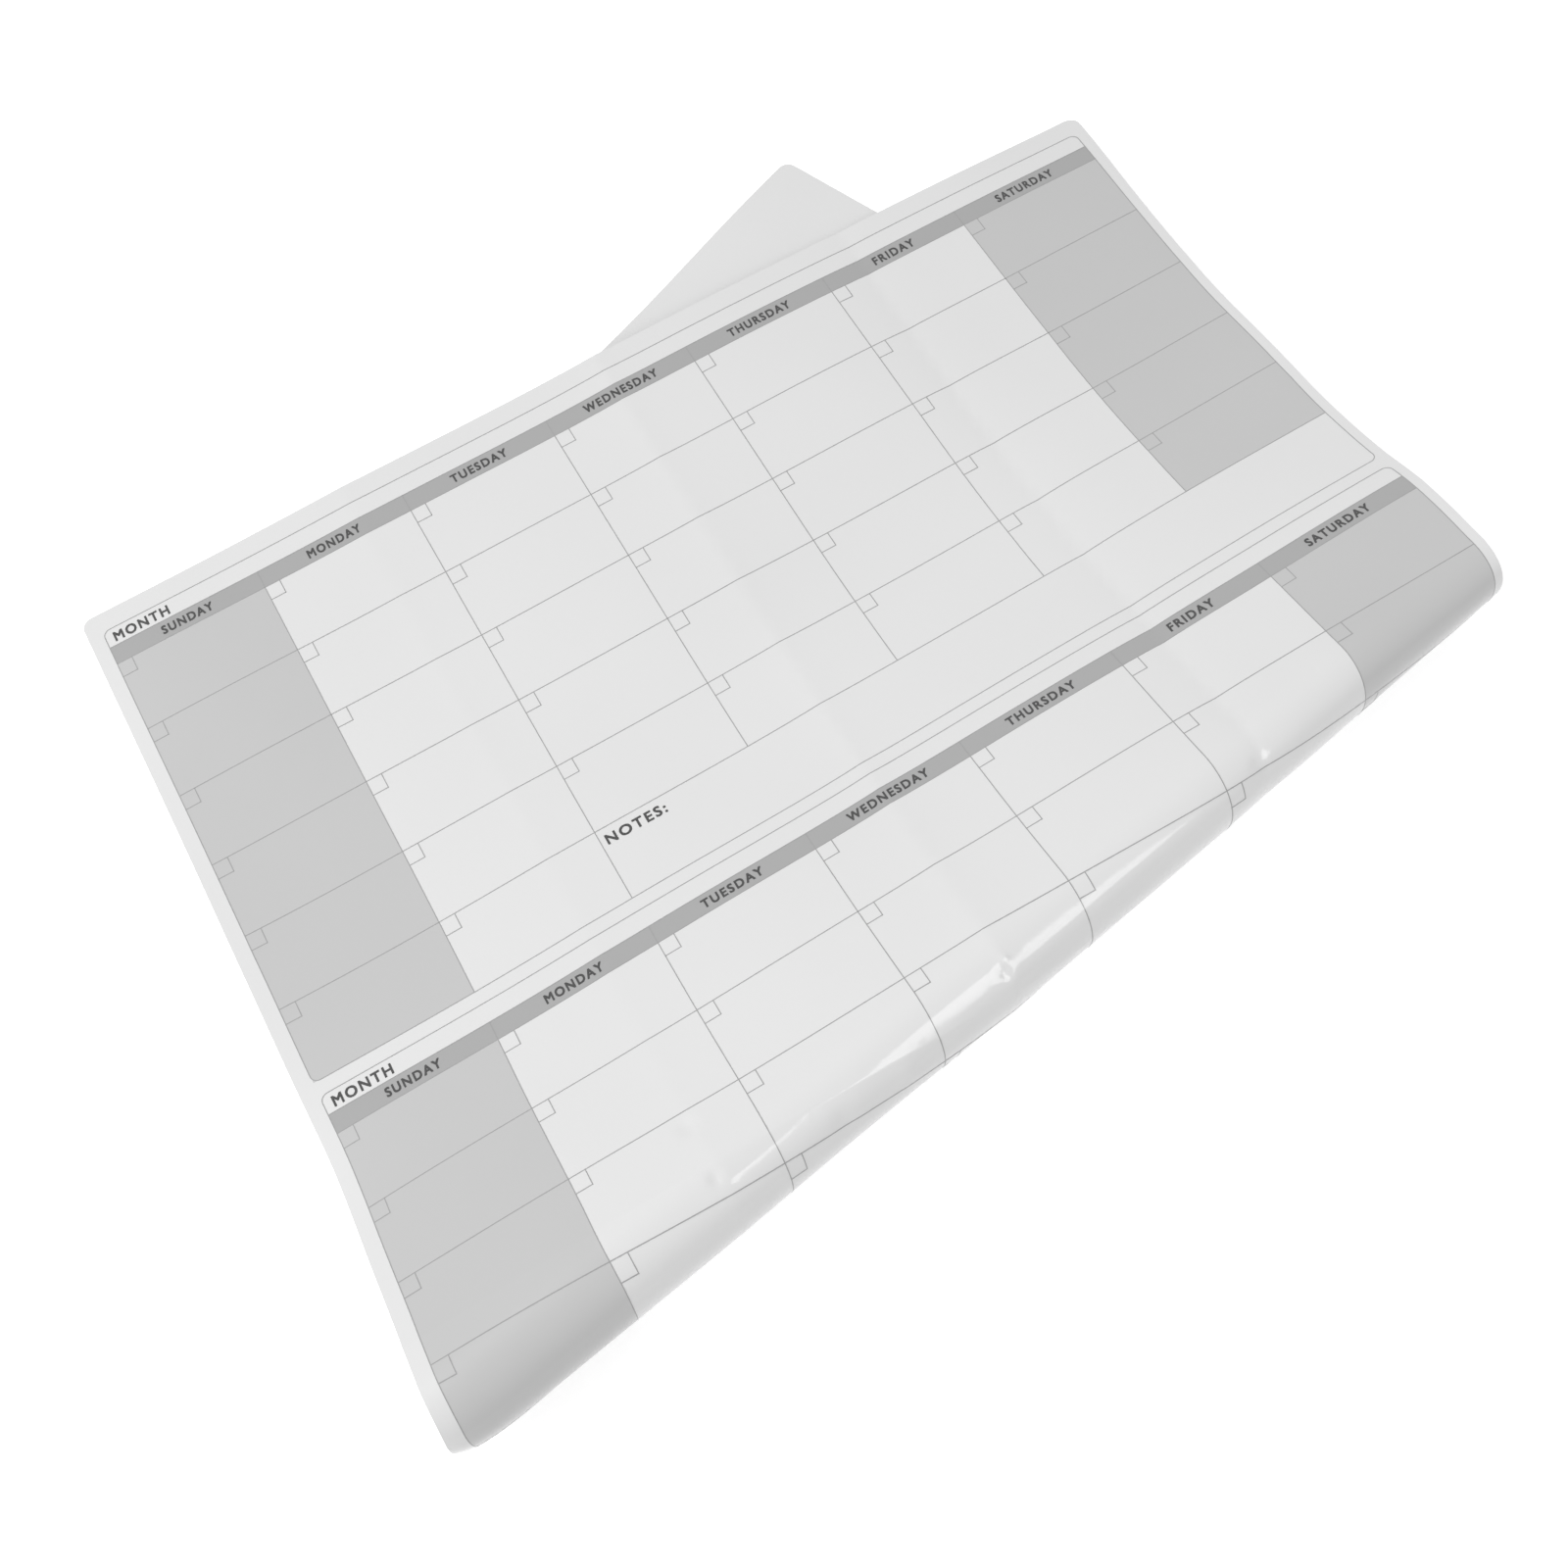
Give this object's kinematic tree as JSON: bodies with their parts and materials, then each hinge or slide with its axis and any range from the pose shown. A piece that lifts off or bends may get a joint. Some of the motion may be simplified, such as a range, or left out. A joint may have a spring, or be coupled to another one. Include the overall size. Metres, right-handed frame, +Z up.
{
  "type": "wall calendar",
  "caption": "Laminated write-on wall calendar sheet with stacked monthly grids, lying loosely folded over under itself with a soft skewed fold.",
  "frame": {"origin": "middle of the overall box in X and Y, on the surface that the sheet lies on", "axes": "X runs along the main fold, Y runs across it from the fold towards the free edges, Z is up from the surface that the sheet lies on"},
  "size_m": [0.6938, 0.4894, 0.0582],
  "materials": {
    "film": "glossy clear film over white paper",
    "strip_ink": "mid grey print under glossy film",
    "weekend_ink": "light grey print under glossy film"
  },
  "bodies": {
    "root": {"sheet": "film", "weekday_strips": "strip_ink", "weekend_columns": "weekend_ink"}
  },
  "joints": []
}
